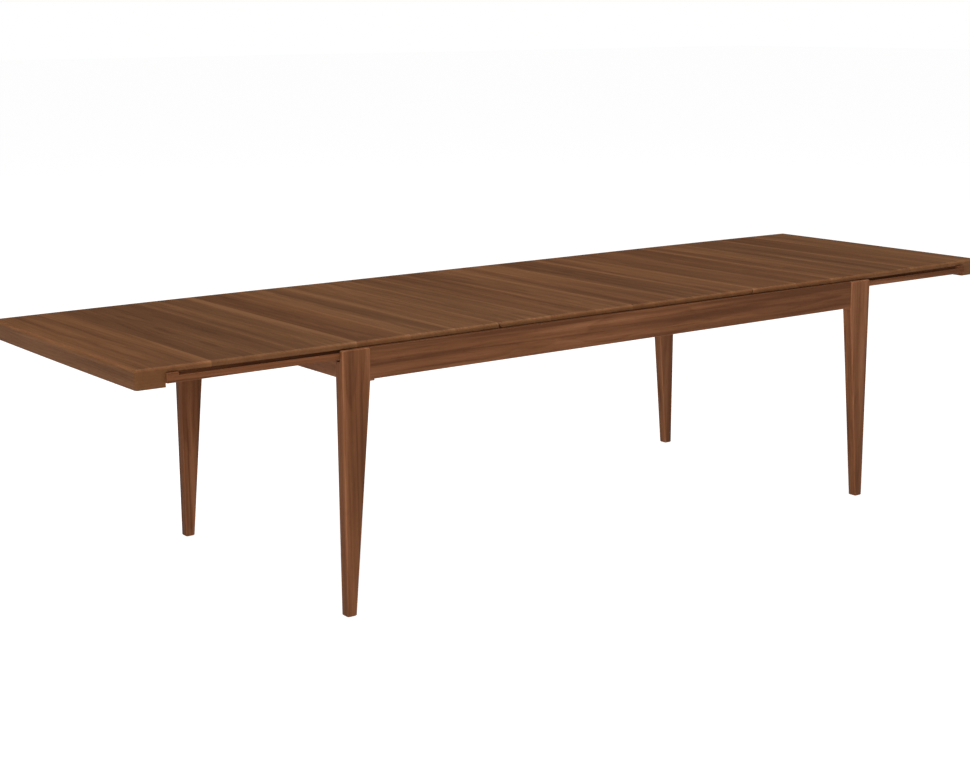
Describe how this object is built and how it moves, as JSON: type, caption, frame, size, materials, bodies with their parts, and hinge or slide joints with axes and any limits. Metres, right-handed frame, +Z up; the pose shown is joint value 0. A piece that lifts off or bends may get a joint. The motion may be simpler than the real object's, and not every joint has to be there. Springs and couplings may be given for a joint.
{
  "type": "extendable dining table",
  "caption": "Rectangular walnut dining table with a gently bowed split top on tapered legs; both halves slide outward on wooden runners and loose leaves fill the gap.",
  "frame": {"origin": "on the floor, under the middle of the table", "axes": "+X along the length of the table, +Y across it towards the rear, +Z up"},
  "size_m": [3.192, 0.976, 0.75],
  "materials": {
    "walnut_top": "satin oiled walnut, staves running across the table",
    "walnut_frame": "satin oiled walnut, grain along each piece",
    "hardwood": "plain sanded hardwood of the hidden parts",
    "steel": "zinc plated",
    "nylon": "moulded dark nylon"
  },
  "bodies": {
    "frame": {"leg_left_front": "walnut_frame", "foot_glide_left_front": "nylon", "corner_block_left_front": "hardwood", "leg_bolt_left_front": "steel", "leg_left_rear": "walnut_frame", "foot_glide_left_rear": "nylon", "corner_block_left_rear": "hardwood", "leg_bolt_left_rear": "steel", "leg_right_front": "walnut_frame", "foot_glide_right_front": "nylon", "corner_block_right_front": "hardwood", "leg_bolt_right_front": "steel", "leg_right_rear": "walnut_frame", "foot_glide_right_rear": "nylon", "corner_block_right_rear": "hardwood", "leg_bolt_right_rear": "steel", "side_apron_front": "walnut_frame", "guide_strip_front": "walnut_frame", "side_apron_rear": "walnut_frame", "guide_strip_rear": "walnut_frame", "end_rail_left": "walnut_frame", "cross_beam_left": "hardwood", "end_rail_right": "walnut_frame", "cross_beam_right": "hardwood"},
    "top_half_left": {"top_board_left": "walnut_top", "end_bar_left": "walnut_top", "runner_left_front": "walnut_frame", "top_batten_left_front": "hardwood", "leaf_plate_left_front": "hardwood", "stop_block_left_front": "hardwood", "runner_left_rear": "walnut_frame", "top_batten_left_rear": "hardwood", "leaf_plate_left_rear": "hardwood", "stop_block_left_rear": "hardwood"},
    "top_half_right": {"top_board_right": "walnut_top", "end_bar_right": "walnut_top", "runner_right_front": "walnut_frame", "top_batten_right_front": "hardwood", "leaf_plate_right_front": "hardwood", "stop_block_right_front": "hardwood", "runner_right_rear": "walnut_frame", "top_batten_right_rear": "hardwood", "leaf_plate_right_rear": "hardwood", "stop_block_right_rear": "hardwood"},
    "leaf_left": {"leaf_board_left": "walnut_top", "leaf_batten_left_front": "hardwood", "leaf_batten_left_rear": "hardwood"},
    "leaf_right": {"leaf_board_right": "walnut_top", "leaf_batten_right_front": "hardwood", "leaf_batten_right_rear": "hardwood"}
  },
  "joints": [
    {"name": "left_half_slide", "type": "slide", "parent": "frame", "child": "top_half_left", "axis": [1, 0, 0], "range_m": [0, 0.495]},
    {"name": "right_half_slide", "type": "slide", "parent": "frame", "child": "top_half_right", "axis": [-1, 0, 0], "range_m": [0, 0.495]},
    {"name": "left_leaf_lift", "type": "slide", "parent": "frame", "child": "leaf_left", "axis": [0, 0, 1], "range_m": [0, 0.99]},
    {"name": "right_leaf_lift", "type": "slide", "parent": "frame", "child": "leaf_right", "axis": [0, 0, 1], "range_m": [0, 0.99]}
  ],
  "couplings": [
    {"joint": "left_leaf_lift", "follows": "left_half_slide", "ratio": 2},
    {"joint": "right_leaf_lift", "follows": "right_half_slide", "ratio": 2}
  ]
}
